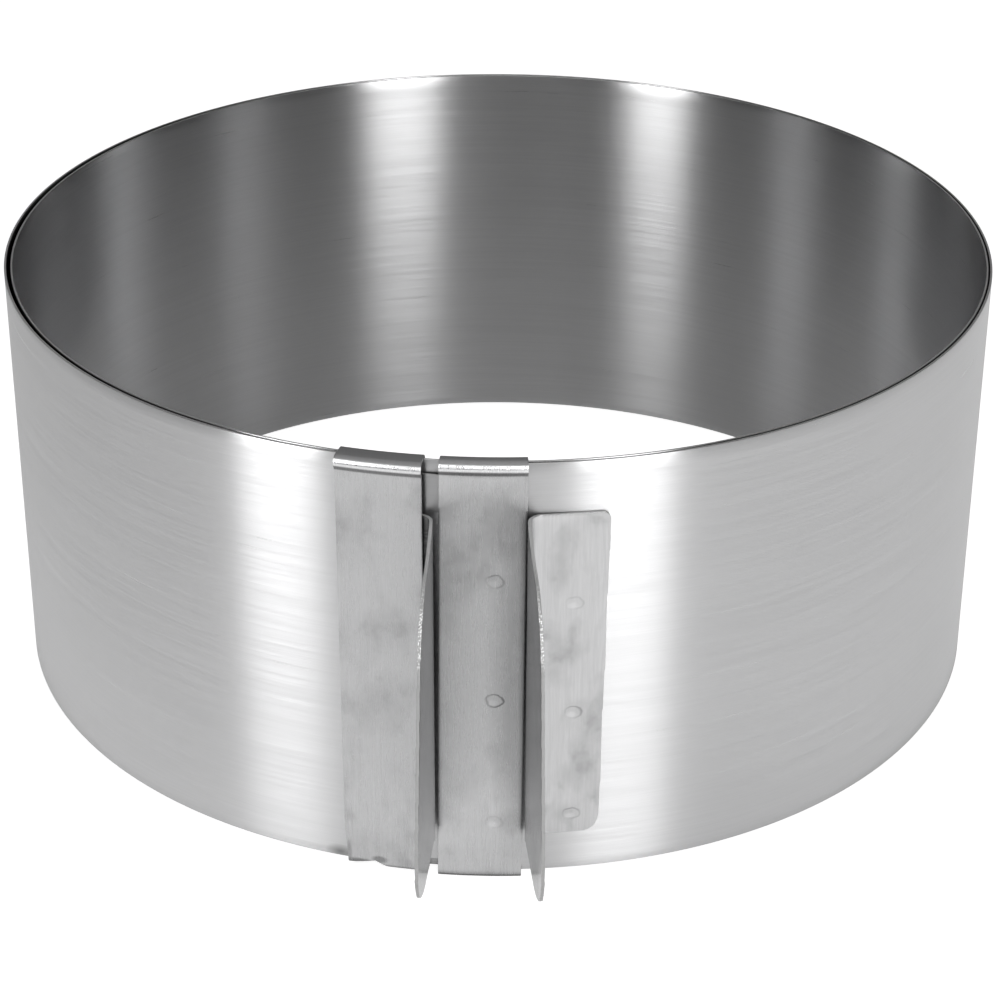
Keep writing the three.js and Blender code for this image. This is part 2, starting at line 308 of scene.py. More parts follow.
def round_corner(piece, corner, along, up, size, steps, test):
    """Cuts a corner of a sheet along the tangents of a curve that touches both its sides."""
    for i in range(1, steps):
        t = i / steps
        point = corner - along * size * (1 - t) ** 2 - up * size * t ** 2
        normal = along * t + up * (1 - t)
        pick(piece, "FACE", test)
        bpy.ops.mesh.bisect(plane_co=point, plane_no=normal.normalized(), clear_outer=True)


def press_dent(piece, centre, inwards, radius, depth, falloff="SMOOTH"):
    """Presses a round dent into the side of the sheet that is nearest to a point."""
    bpy.ops.mesh.select_mode(type="VERT")
    bpy.ops.mesh.select_all(action="DESELECT")
    mesh = bmesh.from_edit_mesh(piece.data)
    nearest = min(mesh.verts, key=lambda v: (v.co - centre).length)
    nearest.select_set(True)
    mesh.select_flush_mode()
    bmesh.update_edit_mesh(piece.data)
    bpy.ops.transform.translate(
        value=inwards * depth, use_proportional_edit=True, use_proportional_connected=True,
        proportional_edit_falloff=falloff, proportional_size=radius,
    )


def paint_cut_edges(piece, test):
    """Gives the narrow faces of the cut edges the second material."""
    bpy.ops.mesh.select_mode(type="FACE")
    bpy.ops.mesh.select_all(action="DESELECT")
    mesh = bmesh.from_edit_mesh(piece.data)
    for face in mesh.faces:
        if test(face):
            face.select_set(True)
    bmesh.update_edit_mesh(piece.data)
    piece.active_material_index = 1
    bpy.ops.object.material_slot_assign()


def hand_over(piece, body, node):
    """Leaves edit mode, smooths the shading and gives the piece its place in the frame."""
    bpy.ops.object.mode_set(mode="OBJECT")
    bpy.ops.object.shade_smooth_by_angle(angle=math.radians(35))
    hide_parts(node)
    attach(piece, body)


# Materials

class Recipe:
    """A material's nodes, added one by one."""

    def __init__(self, name):
        self.material = bpy.data.materials.new(name)
        self.material.use_nodes = True
        self.nodes = self.material.node_tree.nodes
        self.links = self.material.node_tree.links
        self.shader = self.nodes["Principled BSDF"]
        self.place = self.nodes.new("ShaderNodeTexCoord").outputs["Object"]

    def add(self, kind, inputs=(), **settings):
        node = self.nodes.new(kind)
        for name, value in settings.items():
            setattr(node, name, value)
        for name, value in dict(inputs).items():
            self.put(node, name, value)
        return node

    def put(self, node, name, value):
        if isinstance(value, bpy.types.NodeSocket):
            self.links.new(value, node.inputs[name])
        else:
            node.inputs[name].default_value = value

    def grain(self, scale, detail=2.0, shift=(0, 0, 0)):
        """Noise stretched by a scale for each axis."""
        mapped = self.add("ShaderNodeMapping", {"Vector": self.place, "Scale": scale, "Location": shift})
        noise = self.add(
            "ShaderNodeTexNoise", {"Vector": mapped.outputs[0], "Scale": 1.0, "Detail": detail}
        )
        return noise.outputs["Fac"]

    def spread(self, value, low, high, to_low=0.0, to_high=1.0):
        ranged = self.add(
            "ShaderNodeMapRange",
            {"Value": value, "From Min": low, "From Max": high, "To Min": to_low, "To Max": to_high},
        )
        return ranged.outputs[0]

    def combine(self, kind, a, b):
        return self.add("ShaderNodeMath", {0: a, 1: b}, operation=kind).outputs[0]

    def mix(self, factor, a, b):
        """A colour between two, by a factor."""
        node = self.add("ShaderNodeMix", data_type="RGBA")
        for socket, value in ((node.inputs[0], factor), (node.inputs[6], a), (node.inputs[7], b)):
            if isinstance(value, bpy.types.NodeSocket):
                self.links.new(value, socket)
            else:
                socket.default_value = (*value, 1) if hasattr(value, "__len__") else value
        return node.outputs[2]

    def bump(self, height, distance, before=None):
        inputs = {"Height": height, "Distance": distance, "Strength": 1.0}
        if before:
            inputs["Normal"] = before
        return self.add("ShaderNodeBump", inputs).outputs[0]

    def paint_gap_shade(self, shade, reach, dark, clear):
        """Painted shade: darkens a colour where another surface is close, as in the gaps between the
        sheets.
        """
        near = self.add("ShaderNodeAmbientOcclusion", {"Distance": reach}, samples=8)
        return self.mix(self.spread(near.outputs["AO"], dark, clear), (0.01, 0.01, 0.01), shade)

    def spot(self, centre, radii):
        """How far a point is from a centre, where 1 lies on the rim of an upright oval."""
        away = self.add("ShaderNodeVectorMath", {0: self.place, 1: centre}, operation="SUBTRACT")
        scaled = self.add(
            "ShaderNodeVectorMath", {0: away.outputs[0], 1: [1 / r for r in radii]}, operation="MULTIPLY"
        )
        return self.add("ShaderNodeVectorMath", {0: scaled.outputs[0]}, operation="LENGTH").outputs["Value"]


def times(tint, factor):
    return tuple(min(1.0, c * factor) for c in tint)


def brushed(r, shade, roughness, normal, way, turn=0.0):
    """Connects what brushed steel needs: its reflections are drawn out across the brush lines."""
    r.put(r.shader, "Base Color", shade)
    r.put(r.shader, "Metallic", 1.0)
    r.put(r.shader, "Roughness", roughness)
    r.shader.inputs["Anisotropic"].default_value = 1.0
    r.shader.inputs["Anisotropic Rotation"].default_value = turn
    drawn = r.add("ShaderNodeCombineXYZ", {"X": float(way[0]), "Y": float(way[1]), "Z": float(way[2])})
    r.put(r.shader, "Tangent", drawn.outputs[0])
    r.put(r.shader, "Normal", normal)
    return r.material


def band_steel(finishes):
    """Steel brushed along the strip: fine level lines, reflections drawn out up and down."""
    made = bpy.data.materials.get("strip_steel_brushed_level")
    if made:
        return made
    r = Recipe("strip_steel_brushed_level")
    fine = r.grain((90, 90, 7000), 3)
    lines = r.grain((25, 25, 1600), 3, (3, 1, 2))
    cloud = r.grain((30, 30, 60), 3, (7, 4, 1))
    waves = r.grain((14, 14, 5), 1, (2, 9, 4))
    tone = r.combine("ADD", r.spread(fine, 0.3, 0.7, 0, 0.5), r.spread(lines, 0.3, 0.7, 0, 0.5))
    shade = r.mix(tone, times(finishes.band, 0.95), times(finishes.band, 1.04))
    shade = r.mix(r.spread(cloud, 0.45, 0.8, 0, 0.4), shade, times(finishes.band, 0.92))
    # painted reflection of the left strap's bent-in lower corner: a dark patch on the outer turn beside it
    edge = r.spot(wall_point(81.5 * MM, math.radians(-15.4), 1.9 * MM), (2.6 * MM, 2.6 * MM, 1.5 * MM))
    shade = r.mix(r.spread(edge, 1.0, 0.1, 0, 0.75), shade, times(finishes.band, 0.25))
    # painted shade in the gaps between the strip's turns and the parts on it
    shade = r.paint_gap_shade(shade, 3 * MM, 0.22, 0.5)
    soft = r.bump(waves, 0.0002)
    normal = r.bump(fine, 0.000012, r.bump(lines, 0.00002, soft))
    return brushed(r, shade, r.spread(tone, 0, 1, 0.27, 0.34), normal, UP)


def upright_steel(name, tint, rough, mottled=0.5, folded=False, stains_and_shade=(), marks=()):
    """Steel brushed up and down: fine upright lines, reflections drawn out sideways. On a folded
    sheet the lines run on over the fold."""
    r = Recipe(name)
    fine = r.grain((5500, 200 if folded else 5500, 260), 3)
    lines = r.grain((2200, 70 if folded else 2200, 90), 3, (3, 1, 2))
    cloud = r.grain((150, 150, 110), 4, (7, 4, 1))
    tone = r.combine("ADD", r.spread(fine, 0.3, 0.7, 0, 0.5), r.spread(lines, 0.3, 0.7, 0, 0.5))
    shade = r.mix(tone, times(tint, 0.9), times(tint, 1.08))
    shade = r.mix(r.spread(cloud, 0.44, 0.66, 0, mottled), shade, times(tint, 0.74))
    speckle = r.spread(r.grain((420, 420, 330), 5, (1, 6, 3)), 0.5, 0.7)
    specks = r.combine("MULTIPLY", speckle, r.spread(cloud, 0.5, 0.6))
    shade = r.mix(r.combine("MULTIPLY", specks, mottled * 0.6), shade, times(tint, 0.5))
    if folded:
        # over the rim: a rougher top painted darker as shade, a painted highlight on the shoulder and a
        # painted shadow line below
        top = r.spread(r.spot((0, 0, BAND_TOP + 1.0 * MM), (1, 1, 1.05 * MM)), 1.0, 0.85)
        shoulder = r.spread(r.spot((0, 0, BAND_TOP - 0.35 * MM), (1, 1, 0.75 * MM)), 1.0, 0.6)
        under = r.spread(r.spot((0, 0, BAND_TOP - 1.35 * MM), (1, 1, 0.45 * MM)), 1.0, 0.5, 0, 0.8)
        shade = r.mix(shoulder, shade, times(tint, 1.5))
        shade = r.mix(top, shade, times(tint, 0.5))
        shade = r.mix(under, shade, times(tint, 0.2))
    else:
        # painted shade on the ears and not on the feet: strongest where the ears leave the wall, weaker
        # towards their lower edge
        away = r.spot(AXIS, (1, 1, 1000))
        on_ear = r.spread(away, 83.2 * MM, 84.2 * MM)
        painted_ear_shade = r.combine("MULTIPLY", on_ear, r.spread(away, 84 * MM, 89 * MM, 0.75, 0.4))
        above = r.spot((0, 0, BAND_BOTTOM + 7 * MM), (1000, 1000, 1))
        painted_ear_shade = r.combine("MULTIPLY", painted_ear_shade, r.spread(above, 0, 18 * MM, 0.35, 1))
        shade = r.mix(painted_ear_shade, shade, times(tint, 0.3))
    normal = r.bump(fine, 0.000006, r.bump(lines, 0.000008 if folded else 0.000015))
    # dark patches: stained patches, and painted shade where the caller lists it
    for centre, radii, strength in stains_and_shade:
        edge = r.combine("ADD", r.spot(centre, radii), r.spread(cloud, 0.3, 0.7, -0.3, 0.3))
        shade = r.mix(r.spread(edge, 1.05, 0.5, 0, strength), shade, times(tint, 0.4))
    for centre, radius, strength, whole in marks:
        shade, normal = weld_mark(r, shade, normal, tint, cloud, centre, radius, strength, whole)
    # painted shade in the gaps between the sheets
    shade = r.paint_gap_shade(shade, 2.0 * MM, 0.34, 0.85)
    roughness = r.spread(tone, 0, 1, rough, rough + 0.08)
    if not folded:
        return brushed(r, shade, roughness, normal, UP, 0.25)
    brushed(r, shade, r.combine("ADD", roughness, r.combine("MULTIPLY", top, 0.35)), normal, (1, 0, 0))
    r.put(r.shader, "Anisotropic", r.combine("SUBTRACT", 1.0, top))
    return r.material


def weld_mark(r, shade, normal, tint, cloud, centre, radius, strength, whole):
    """The print of a welding tip: a faint dark ring round a small dish, with painted shade making the ring
    clearest at its upper right and a painted highlight low in the dish.
    """
    oval = r.spot(centre, (radius, radius * 3, radius * 0.82))
    bent = r.combine("ADD", oval, r.spread(r.grain((900, 900, 900), 3), 0.3, 0.7, -0.13, 0.13))
    ring = r.combine("MULTIPLY", r.spread(bent, 0.74, 0.92), r.spread(bent, 1.12, 0.98))
    # painted shade: the ring is darkest at its upper right
    upper = centre + Vector((0.75, 0, 0.75)) * radius
    side = r.spread(r.spot(upper, (radius, radius * 3, radius)), 1.0, 2.0, 1.0, whole)
    print_and_shade = r.combine("MULTIPLY", ring, r.combine("MULTIPLY", side, r.spread(cloud, 0.4, 0.6, 0.2, 0.65)))
    # painted highlight in the lower part of the dish
    lower = centre - Vector((0.2, 0, 0.3)) * radius
    light = r.spread(r.spot(lower, (radius * 0.7, radius * 3, radius * 0.5)), 1.0, 0.4, 0, 0.3)
    shade = r.mix(light, shade, times(tint, 1.35))
    shade = r.mix(r.combine("MULTIPLY", print_and_shade, strength), shade, times(tint, 0.15))
    return shade, r.bump(r.spread(bent, 1.0, 0.8), -0.00001, normal)


def stain_and_shade_at(radius, place, height, wide, tall, strength):
    """A dark patch on the wall, used for stained patches and for painted shade, from its place in degrees
    and its height and half sizes in millimetres.
    """
    centre = wall_point(radius, math.radians(place), height * MM)
    return centre, (wide * MM, 9 * MM, tall * MM), strength


def cut_steel(finishes):
    """The bare cut edge of the sheet: matt and rough, with small sparkling breaks painted as a highlight in
    one band of height.
    """
    made = bpy.data.materials.get("cut_edge_steel")
    if made:
        return made
    r = Recipe("cut_edge_steel")
    breaks = r.grain((4500, 4500, 3200), 2)
    # painted highlight: the breaks sparkle only in this band round one height
    places = r.spread(r.spot((0, 0, 57 * MM), (1, 1, 5 * MM)), 1.0, 0.5)
    sparkle = r.combine("MULTIPLY", r.spread(breaks, 0.5, 0.62), places)
    tint = r.mix(r.spread(breaks, 0.35, 0.65), times(finishes.cut, 0.85), finishes.cut)
    r.put(r.shader, "Base Color", r.mix(sparkle, tint, (0.95, 0.95, 0.95)))
    r.put(r.shader, "Metallic", 1.0)
    r.put(r.shader, "Roughness", r.spread(breaks, 0.3, 0.7, 0.6, 0.7))
    r.put(r.shader, "Normal", r.bump(breaks, 0.00002))
    return r.material


# The pieces

def faces_edgewise(face):
    """Whether a face of the strip faces neither in nor out."""
    return abs(face.normal.dot(outward(place_of(face.calc_center_median())))) < 0.35


def faces_sideways(face):
    """Whether a face of a strap faces along the wall."""
    return abs(face.normal.dot(sideways(place_of(face.calc_center_median())))) > 0.6


def make_turn(name, inner, start, sizes, finishes, tongue=False):
    """One turn of the strip: its upright section is swept round the axis, up to the slit."""
    outer = inner + sizes.thickness
    low, high = BAND_BOTTOM + sizes.tongue_rise, BAND_TOP - sizes.tongue_drop
    piece = start_sheet(
        name, wall_point(inner, start, BAND_BOTTOM), outward(start), UP,
        sizes.thickness, BAND_TOP - BAND_BOTTOM, 1, 1,
    )
    piece.data.materials.append(band_steel(finishes))
    piece.data.materials.append(cut_steel(finishes))
    for height in (low, high):
        bpy.ops.mesh.select_all(action="SELECT")
        bpy.ops.mesh.bisect(plane_co=(0, 0, height), plane_no=UP)
    bpy.ops.mesh.select_all(action="SELECT")
    opening = sizes.slit / outer + (sizes.tongue / outer if tongue else 0)
    spin(2 * math.pi - opening, AXIS, UP, TURN_STEPS)
    if tongue:
        # the outer end runs on as a narrower tongue
        at_start = outward(start)
        across = sideways(start)
        pick(piece, "FACE", lambda p: (
            abs((p - AXIS).dot(across)) < HAIR and (p - AXIS).dot(at_start) > 0
            and low - HAIR < p.z < high + HAIR
        ))
        spin(-sizes.tongue / outer, AXIS, UP, TONGUE_STEPS)
    tidy_faces()
    soften_edges(piece, sizes.edge)
    paint_cut_edges(piece, faces_edgewise)
    if tongue:
        # the outer turn bulges on the left and sits off the middle, and its tongue is pressed down
        pick(piece, "VERT", lambda p: abs(place_of(p) - BULGE_PLACE) < math.radians(0.7))
        bpy.ops.transform.translate(
            value=outward(BULGE_PLACE) * sizes.bulge, use_proportional_edit=True,
            proportional_edit_falloff="SMOOTH", proportional_size=sizes.bulge_reach,
        )
        bpy.ops.mesh.select_all(action="SELECT")
        bpy.ops.transform.translate(value=(-sizes.sway, 0, 0))
        tip = start - sizes.tongue / outer
        pick(piece, "VERT", lambda p: tip - 0.01 < place_of(p) < tip + 0.002)
        bpy.ops.transform.translate(
            value=-outward(tip) * sizes.tongue_press, use_proportional_edit=True,
            proportional_edit_falloff="SMOOTH", proportional_size=sizes.tongue * 2,
        )
    return piece


def make_strap(name, leg, hem, middle, lean, set_in, strap, strip, finishes, material):
    """A strap: its section is drawn out from the leg by folding over the rim and under the lower edge,
    and then swept round the ring by the strap's width."""
    half = strap.width / 2 / leg
    start = middle - half
    out = outward(start)
    up = (UP * math.cos(lean) + sideways(start) * math.sin(lean)).normalized()
    side = up.cross(out) * -1
    lip = strip.inside - strap.lip_play
    fold, hem_fold = strap.fold, strap.hem_fold
    leg_top = BAND_TOP + strap.rim_play - fold - strap.roll_drop
    hem_start = hem + strap.thickness + hem_fold
    slope_top, slope_bottom = (SLOPE_TOP, SLOPE_BOTTOM) if set_in else (hem_start, hem_start)
    leg_height = leg_top - slope_top
    foot = AXIS + out * leg + UP * BAND_MIDDLE + up * (slope_top - BAND_MIDDLE)
    piece = start_sheet(name, foot, out, up, strap.thickness, leg_height, 1, STRAP_ROWS)
    piece.data.materials.append(material)
    piece.data.materials.append(cut_steel(finishes))

    # over the rim
    pick(piece, "EDGE", lambda p: abs((p - foot).dot(up) - leg_height) < HAIR)
    drop = strap.roll_drop
    for share_out, share_up in ((0.15, 0.25), (0.7, 0.5), (0.15, 0.25)):
        draw_out(out * strap.roll * share_out + up * drop * share_up)
    hub = foot + up * (leg_height + drop) + out * (strap.roll - fold)
    flat = leg - lip + strap.roll + strap.inner_roll - 2 * fold
    spin(QUARTER, hub, side, FOLD_STEPS)
    draw_out(-out * flat)
    spin(QUARTER, hub - out * flat, side, FOLD_STEPS)
    draw_out(out * strap.inner_roll - up * drop)
    draw_out(-up * (strap.lip - fold - strap.thickness - drop))

    # under the lower edge
    pick(piece, "EDGE", lambda p: abs((p - foot).dot(up)) < HAIR and (p - foot).dot(out) > -HAIR)
    if set_in:
        draw_out(-out * set_in - up * (slope_top - slope_bottom))
        draw_out(-up * (slope_bottom - hem_start))
    hub = foot - up * (slope_top - hem_start) - out * (set_in + hem_fold)
    flat = leg - set_in - lip - 2 * hem_fold
    spin(QUARTER, hub, -side, HEM_STEPS)
    draw_out(-out * flat)
    spin(QUARTER, hub - out * flat, -side, HEM_STEPS)
    draw_out(up * (strap.lip - hem_fold - strap.thickness))

    bpy.ops.mesh.select_all(action="SELECT")
    spin(2 * half, AXIS, UP, STRAP_STEPS)
    tidy_faces()
    soften_edges(piece, strap.edge)
    return piece


def snip_hem(piece, places, heights):
    """Takes a slanting piece out of the left strap's hem, between a left, a middle and a right place."""
    left, inner, right = places
    left_top, top, low = heights
    out = outward(inner)
    across = sideways(inner)
    under = 3 * MM
    wall = 82 * MM
    base = wall_point(wall - 4 * MM, inner, -under)
    width = (inner - left) * wall
    cutter = start_sheet("hem_cutter", base - across * width, across, UP, width, top + under, 1, 1)
    pick(cutter, "EDGE", lambda p: abs((p - base).dot(across)) < HAIR)
    draw_out(across * (right - inner) * wall)
    pick(cutter, "VERT", lambda p: p.z > 0 and (p - base).dot(across) > HAIR)
    bpy.ops.transform.translate(value=(0, 0, low - top))
    pick(cutter, "VERT", lambda p: p.z > 0 and (p - base).dot(across) < HAIR - width)
    bpy.ops.transform.translate(value=(0, 0, left_top - top))
    bpy.ops.mesh.select_all(action="SELECT")
    draw_out(out * 8 * MM)
    tidy_faces()
    clear_selection()
    bpy.context.view_layer.objects.active = piece
    piece.select_set(True)
    cut = piece.modifiers.new("Snip", "BOOLEAN")
    cut.object, cut.operation, cut.solver = cutter, "DIFFERENCE", "EXACT"
    bpy.ops.object.modifier_apply(modifier=cut.name)
    bpy.data.objects.remove(cutter)
    bpy.ops.object.mode_set(mode="EDIT")


def make_handle(name, foot_radius, place, lean, mirrored, handle, finishes, material):
    """A handle: the ear is a flat sheet with two round corners, its edge is swept round the bend and on
    along the wall for the foot, which is a little flatter than the wall. The left one is mirrored."""
    way = -1 if mirrored else 1
    lift = handle.left_lift if mirrored else handle.right_lift
    t = handle.thickness
    bend = handle.bend + t / 2
    mid_radius = foot_radius + t / 2
    bottom = BAND_BOTTOM + handle.rise
    top = bottom + handle.height

    # the foot touches its seat at the weld marks
    weld = place + FOOT_WELDS * handle.foot / foot_radius
    centre = wall_point(mid_radius, way * weld) - outward(way * weld) * handle.flat
    to_bend = (FOOT_WELDS * handle.foot - handle.bend - t) / handle.flat
    to_end = (1 - FOOT_WELDS) * handle.foot / handle.flat
    foot_start, foot_end = way * (weld - to_bend), way * (weld + to_end)
    ear_place = way * (place + lean)
    along, across = outward(ear_place), sideways(ear_place) * way
    hub = centre + outward(foot_start) * (handle.flat + bend)
    root = hub - across * bend
    reach = handle.ear - handle.bend - t

    # the ear
    low_root = root + UP * (bottom + lift)
    ear_height = handle.height - lift - handle.ear_drop
    free_edge = low_root + along * reach
    piece = start_sheet(name, low_root, along, UP, reach, ear_height, EAR_COLUMNS, EAR_ROWS)
    piece.data.materials.append(material)
    piece.data.materials.append(cut_steel(finishes))
    round_corner(piece, free_edge, along, -UP, EAR_CORNERS[0], 14, lambda p: True)
    round_corner(piece, free_edge + UP * ear_height, along, UP, EAR_CORNERS[1], 14, lambda p: True)
    at_root = lambda p: abs((p - root).dot(along)) < HAIR
    pick(piece, "VERT", lambda p: at_root(p) and p.z < bottom + lift + HAIR)
    bpy.ops.transform.translate(value=(0, 0, -lift))
    ear_top = bottom + lift + ear_height - HAIR
    column = reach / EAR_COLUMNS
    rising = 10
    for i in range(rising):
        pick(piece, "VERT", lambda p: abs((p - root).dot(along) / column - i) < 0.3 and p.z > ear_top)
        bpy.ops.transform.translate(value=(0, 0, handle.ear_drop * (1 - i / rising) ** 2))

    # the bend and the foot
    pick(piece, "EDGE", at_root)
    spin(-way * (QUARTER + way * (ear_place - foot_start)), hub, UP, BEND_STEPS)
    spin(foot_end - foot_start, centre, UP, FOOT_STEPS)
    corner = centre + outward(foot_end) * handle.flat
    edge_way = sideways(foot_end) * way
    on_foot = lambda p: (p - centre).to_2d().length < handle.flat + 0.02 * MM
    lean_out = (edge_way + UP * (-handle.foot_taper / handle.height)).normalized()
    pick(piece, "FACE", on_foot)
    bpy.ops.mesh.bisect(plane_co=corner + UP * top, plane_no=lean_out, clear_outer=True)
    low = corner + UP * bottom - edge_way * handle.foot_taper
    round_corner(piece, low, edge_way, -UP, FOOT_CORNERS[0], 8, on_foot)
    round_corner(piece, corner + UP * top, edge_way, UP, FOOT_CORNERS[1], 8, on_foot)
    tidy_faces()
    twist = handle.left_twist if mirrored else -handle.right_twist
    twist_ear(piece, hub, mid_radius + 0.3 * MM, bottom, top, twist)
    bpy.ops.object.mode_set(mode="OBJECT")
    sheet = piece.modifiers.new("Sheet", "SOLIDIFY")
    sheet.thickness, sheet.offset, sheet.material_offset_rim = t, 0, 1
    bpy.ops.object.modifier_apply(modifier=sheet.name)
    bpy.ops.object.mode_set(mode="EDIT")
    soften_edges(piece, handle.edge)
    return piece


def twist_ear(piece, hub, foot_radius, bottom, top, twist):
    """Turns the ear about its bend, level by level, more and more with the height."""
    levels = 12
    for i in range(levels):
        low = bottom + (top - bottom) * i / levels
        pick(piece, "VERT", lambda p: p.z >= low and radius_of(p) > foot_radius)
        turn_about(twist / levels, hub)
    pick(piece, "VERT", lambda p: radius_of(p) > foot_radius)
    turn_about(-twist / 2, hub)


# Operators

class RING_OT_stage(Operator):
    """Sets up the floor, the surroundings, the lamps and the camera"""

    bl_idname = "cake_ring.stage"
    bl_label = "Stage"

    def execute(self, context):
        stage = context.scene.cake_ring_stage
        scene = context.scene
        scene.view_settings.view_transform = "Standard"
        world = bpy.data.worlds.new("plain_surroundings")
        scene.world = world
        world.use_nodes = True
        light = world.node_tree.nodes["Background"]
        light.inputs["Color"].default_value = (1, 1, 1, 1)
        light.inputs["Strength"].default_value = stage.world

        clear_selection()
        bpy.ops.mesh.primitive_plane_add(size=8, location=(0, 0, 0))
        floor = context.object
        floor.name = "floor"
        floor.data.materials.append(floor_material(stage))

        # two narrow upright lamps beside the camera, and a wide level one overhead
        side, over = stage.side_lamps, stage.top_lamp
        hang_lamp("left_lamp", Vector((-0.228, -0.272, 0.08)), Vector((-0.291, -0.256, 0.48)), 0.10, side)
        hang_lamp("right_lamp", Vector((0.262, -0.516, 0.10)), Vector((0.297, -0.496, 0.60)), 0.19, side)
        hang_lamp("top_lamp", Vector((0, -0.6, 0.8)), Vector((0, 0.55, 0.8)), 0.4, over)

        camera = bpy.data.objects.new("camera", bpy.data.cameras.new("camera"))
        scene.collection.objects.link(camera)
        camera.data.sensor_width = 36
        camera.data.lens = camera.data.sensor_width * FOCAL_LENGTH / PHOTO_WIDTH
        camera.data.clip_start, camera.data.clip_end = 0.01, 20
        away = Matrix.Rotation(RING_TURN, 3, "Z") @ CAMERA_PLACE
        camera.location = AXIS + away + UP * BAND_BOTTOM
        turn = CAMERA_TURN - RING_TURN
        level = Vector((math.sin(turn), math.cos(turn), 0))
        look = level * math.cos(CAMERA_TILT) - UP * math.sin(CAMERA_TILT)
        facing = look.to_track_quat("-Z", "Y").to_matrix()
        camera.rotation_euler = (facing @ Matrix.Rotation(CAMERA_ROLL, 3, "Z")).to_euler()
        scene.camera = camera
        return {"FINISHED"}


def hang_lamp(name, low, high, width, bright):
    """A flat lamp between two points given from the foot of the ring's axis, its face to the ring."""
    clear_selection()
    along = high - low
    tall = along.length
    along.normalize()
    back = (low + high) / 2 - UP * BAND_MIDDLE
    back = (back - along * back.dot(along)).normalized()
    turn = Matrix((along.cross(back), along, back)).transposed()
    bpy.ops.object.light_add(type="AREA", location=AXIS + (low + high) / 2, rotation=turn.to_euler())
    lamp = bpy.context.object
    lamp.name = name
    lamp.data.shape = "RECTANGLE"
    lamp.data.size, lamp.data.size_y = width, tall
    lamp.data.energy = bright * math.pi * width * tall


def floor_material(stage):
    """A pale floor that takes the ring's shadow. The camera sees it white, and steel a part of that."""
    r = Recipe("pale_floor")
    for name, value in (
        ("Base Color", (*stage.floor, 1)),
        ("Roughness", 0.9),
        ("Specular IOR Level", 0.0),
        ("Emission Color", (1, 1, 1, 1)),
    ):
        r.put(r.shader, name, value)
    path = r.add("ShaderNodeLightPath").outputs
    mirrors = r.combine("MAXIMUM", path["Is Glossy Ray"], path["Is Transmission Ray"])
    # painted shadow and painted light: steel sees none of the floor's glow inside the ring, standing in for
    # the ring's shadow there, and sees more of it to the right than to the left
    from_axis = r.add("ShaderNodeVectorMath", {0: r.place, 1: (AXIS.x, AXIS.y, 0)}, operation="DISTANCE")
    outside = r.spread(from_axis.outputs["Value"], 78 * MM, 84 * MM, 0, stage.mirrored)
    across = r.add("ShaderNodeSeparateXYZ", {0: r.place}).outputs["X"]
    mirrored = r.combine("MULTIPLY", outside, r.spread(across, -0.25, 0.25, 0.9, 1.35))
    mirrored = r.combine("MULTIPLY", mirrors, mirrored)
    seen = r.combine("MULTIPLY", path["Is Camera Ray"], stage.backdrop)
    r.put(r.shader, "Emission Strength", r.combine("ADD", seen, mirrored))
    return r.material


class RING_OT_turns(Operator):
    """Makes the strip's outer and inner turn"""

    bl_idname = "cake_ring.turns"
    bl_label = "Strip, both turns"

    def execute(self, context):
        strip, finishes = context.scene.cake_ring_strip, context.scene.cake_ring_finishes
        strap = context.scene.cake_ring_strap
        # from the left edge of the right strap: the inner turn's slit lies under that strap, and the outer
        # turn's is at the tip of its tongue, behind the left strap's leg
        strap_edge = -strap.width / 2 / (strap.right_leg + 0.1 * MM)
        outer = strip.inside + strip.thickness + strip.play
        start = strap_edge + strip.tuck / (outer + strip.thickness)
        turn = make_turn("outer_turn_steel", outer, start, strip, finishes, tongue=True)
        hand_over(turn, "outer_end", "outer_turn")
        start = strap_edge + (strip.tuck + strip.slit) / strip.inside
        turn = make_turn("inner_turn_steel", strip.inside, start, strip, finishes)
        hand_over(turn, "inner_end", "inner_turn")
        return {"FINISHED"}


